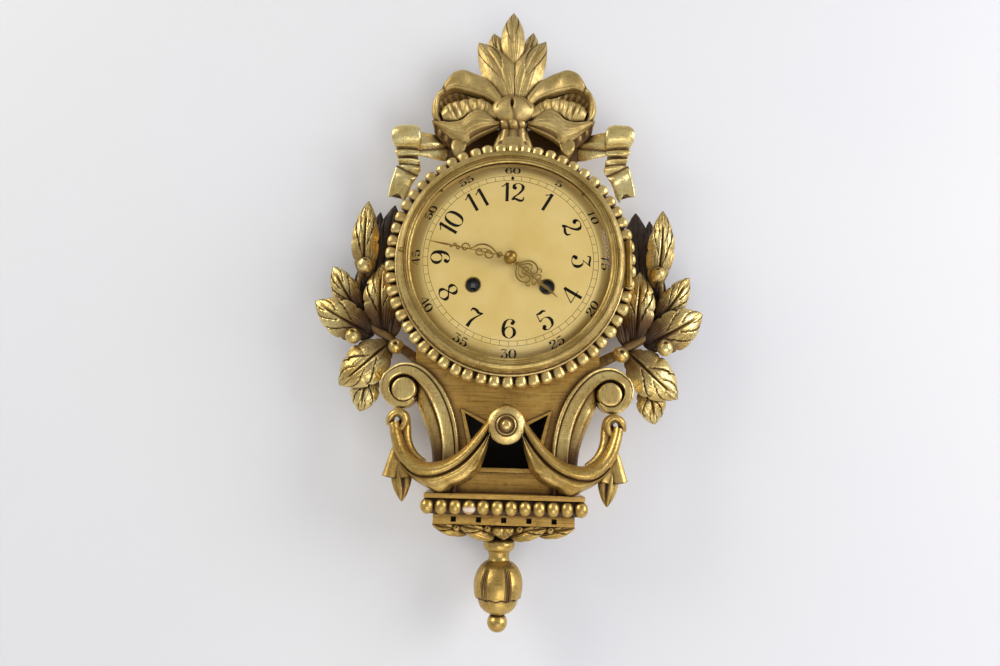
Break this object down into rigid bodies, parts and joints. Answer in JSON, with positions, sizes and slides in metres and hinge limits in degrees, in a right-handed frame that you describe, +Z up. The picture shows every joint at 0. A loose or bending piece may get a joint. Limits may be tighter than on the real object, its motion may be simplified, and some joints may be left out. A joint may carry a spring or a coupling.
{
  "type": "wall clock",
  "caption": "Carved giltwood wall clock: round drum with hinged glazed bezel, bow and leaf crest, laurel sprays, scrolls and swags over a pierced waist, turned pendant.",
  "frame": {"origin": "where the dial's axis meets the wall, on the back board's flat back face", "axes": "+Y out of the back into the wall, so the dial faces -Y; +Z up; +X to the right as seen from the front"},
  "size_m": [0.3768, 0.1072, 0.6064],
  "materials": {
    "giltwood": "carved wood, antique gold paint brushed over a brown ground, worn on the high spots",
    "bare_wood": "brown stained softwood, plain",
    "dial_metal": "matt gilt brass sheet with black printed numerals",
    "glass": "clear convex glass",
    "hinge_brass": "small brass fittings, gilded with the case",
    "hand_gilt": "pierced and gilt brass hands",
    "clock_brass": "rolled brass, lightly brushed and lacquered",
    "clock_steel": "turned and polished clock steel",
    "iron": "black painted cast iron"
  },
  "bodies": {
    "case": {"back_board": "bare_wood", "drum_wall": "giltwood", "dial_seat": "giltwood", "bead_ring": "giltwood", "waist_front": "giltwood", "waist_side_left": "giltwood", "waist_side_right": "giltwood", "scroll_left": "giltwood", "scroll_right": "giltwood", "rosette": "giltwood", "swag_left": "giltwood", "swag_right": "giltwood", "console_board": "giltwood", "console_beads": "giltwood", "console_fillet": "giltwood", "leaf_apron": "giltwood", "finial": "giltwood", "bow_leaves": "giltwood", "bow_knot": "giltwood", "bow_left": "giltwood", "bow_right": "giltwood", "crest_leaves": "giltwood", "ribbon_left": "giltwood", "ribbon_right": "giltwood", "spray_left": "giltwood", "spray_right": "giltwood", "dial": "dial_metal", "dial_screws": "hinge_brass", "hinge_case": "hinge_brass", "hinge_pin": "hinge_brass", "hanger_plate": "hinge_brass", "hanger_screws": "clock_steel", "front_plate": "clock_brass", "back_plate": "clock_brass", "plate_pillars": "clock_brass", "movement_straps": "clock_brass", "strap_screws": "clock_steel", "going_barrel": "clock_brass", "strike_barrel": "clock_brass", "minute_stud": "clock_steel", "suspension_cock": "clock_brass", "gong_block": "iron", "gong_rod": "clock_steel"},
    "bezel_door": {"bezel_ring": "giltwood", "bezel_glass": "glass", "bezel_pull": "hinge_brass", "hinge_door": "hinge_brass"},
    "minute_hand": {"minute_hand": "hand_gilt", "center_arbor": "clock_steel", "hand_nut": "hand_gilt"},
    "hour_hand": {"hour_hand": "hand_gilt", "hour_wheel": "clock_brass"},
    "minute_wheel": {"minute_wheel": "clock_brass"},
    "winding_left": {"winding_arbor_left": "clock_steel"},
    "winding_right": {"winding_arbor_right": "clock_steel"},
    "pendulum": {"pendulum": "clock_brass", "crutch": "clock_brass"},
    "hammer": {"strike_hammer": "clock_steel"}
  },
  "joints": [
    {"name": "bezel_hinge", "type": "hinge", "parent": "case", "child": "bezel_door", "pos_m": [0.108, -0.0843, 0], "axis": [0, 0, 1], "range_deg": [0, 110]},
    {"name": "minute_turn", "type": "hinge", "parent": "case", "child": "minute_hand", "pos_m": [0, -0.09, 0], "axis": [0, 1, 0], "continuous": true},
    {"name": "hour_turn", "type": "hinge", "parent": "case", "child": "hour_hand", "pos_m": [0, -0.09, 0], "axis": [0, 1, 0], "continuous": true},
    {"name": "minute_wheel_turn", "type": "hinge", "parent": "case", "child": "minute_wheel", "pos_m": [0.021, -0.078, 0], "axis": [0, 1, 0], "continuous": true},
    {"name": "winding_left_turn", "type": "hinge", "parent": "case", "child": "winding_left", "pos_m": [-0.0333, -0.07, -0.0247], "axis": [0, 1, 0], "continuous": true},
    {"name": "winding_right_turn", "type": "hinge", "parent": "case", "child": "winding_right", "pos_m": [0.0333, -0.07, -0.0247], "axis": [0, 1, 0], "continuous": true},
    {"name": "pendulum_swing", "type": "hinge", "parent": "case", "child": "pendulum", "pos_m": [0, -0.024, 0.036], "axis": [0, 1, 0], "range_deg": [-3, 3]},
    {"name": "hammer_lift", "type": "hinge", "parent": "case", "child": "hammer", "pos_m": [0.04, -0.03, -0.01], "axis": [0, 1, 0], "range_deg": [-12, 0], "stiffness_Nm_per_rad": 0.02, "springref_deg": 2.86}
  ],
  "couplings": [
    {"joint": "hour_turn", "follows": "minute_turn", "ratio": 0.083333},
    {"joint": "minute_wheel_turn", "follows": "minute_turn", "ratio": -0.33333}
  ]
}
